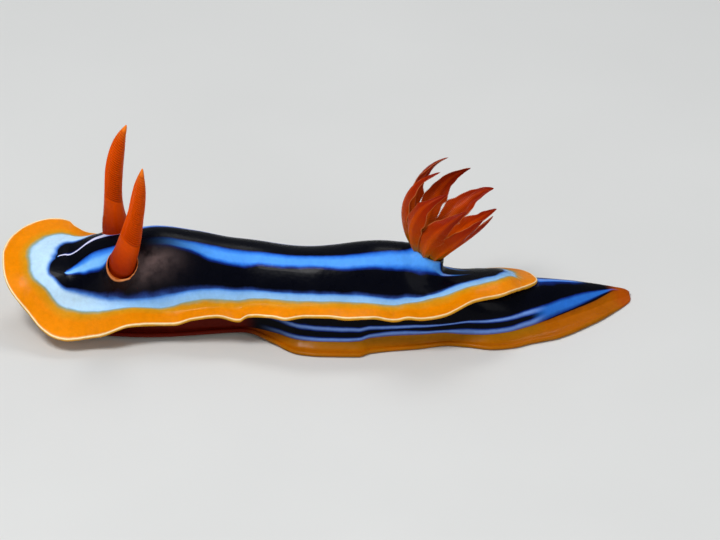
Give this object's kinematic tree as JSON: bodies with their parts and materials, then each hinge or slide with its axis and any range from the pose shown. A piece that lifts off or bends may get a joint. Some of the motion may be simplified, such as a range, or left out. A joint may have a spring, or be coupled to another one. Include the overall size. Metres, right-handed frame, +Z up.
{
  "type": "pyjama slug",
  "caption": "Striped sea slug crawling on its sole: ruffled mantle, pointed tail, lamellate rhinophores and a ring of feathery gills.",
  "frame": {"origin": "middle of the bounding box's floor face, at the level of the sole", "axes": "+Z up, head towards -X, tail towards +X, the animal's left side towards -Y"},
  "size_m": [0.0503, 0.0112, 0.0169],
  "materials": {
    "mantle_skin": "wet glossy skin, black, blue, white and orange bands",
    "flank_skin": "wet glossy skin, black with two blue stripes",
    "foot_skin": "wet glossy skin, orange border, pale sole",
    "head_skin": "wet skin, pale blue-grey",
    "rhinophore_skin": "wet skin, orange-red",
    "gill_skin": "wet skin, dark orange-red"
  },
  "bodies": {
    "root": {"anal_papilla": "gill_skin", "body_front": "flank_skin", "body_middle": "flank_skin", "body_rear": "flank_skin", "foot_front": "foot_skin", "foot_middle": "foot_skin", "foot_rear": "foot_skin", "gill_1": "gill_skin", "gill_2": "gill_skin", "gill_3": "gill_skin", "gill_4": "gill_skin", "gill_5": "gill_skin", "gill_6": "gill_skin", "gill_7": "gill_skin", "gill_8": "gill_skin", "gill_9": "gill_skin", "gill_base": "gill_skin", "head": "head_skin", "mantle_front": "mantle_skin", "mantle_head": "mantle_skin", "mantle_middle": "mantle_skin", "mantle_rear": "mantle_skin", "oral_tentacle_left": "head_skin", "oral_tentacle_right": "head_skin", "rhinophore_left": "rhinophore_skin", "rhinophore_right": "rhinophore_skin", "tail": "flank_skin"}
  },
  "joints": []
}
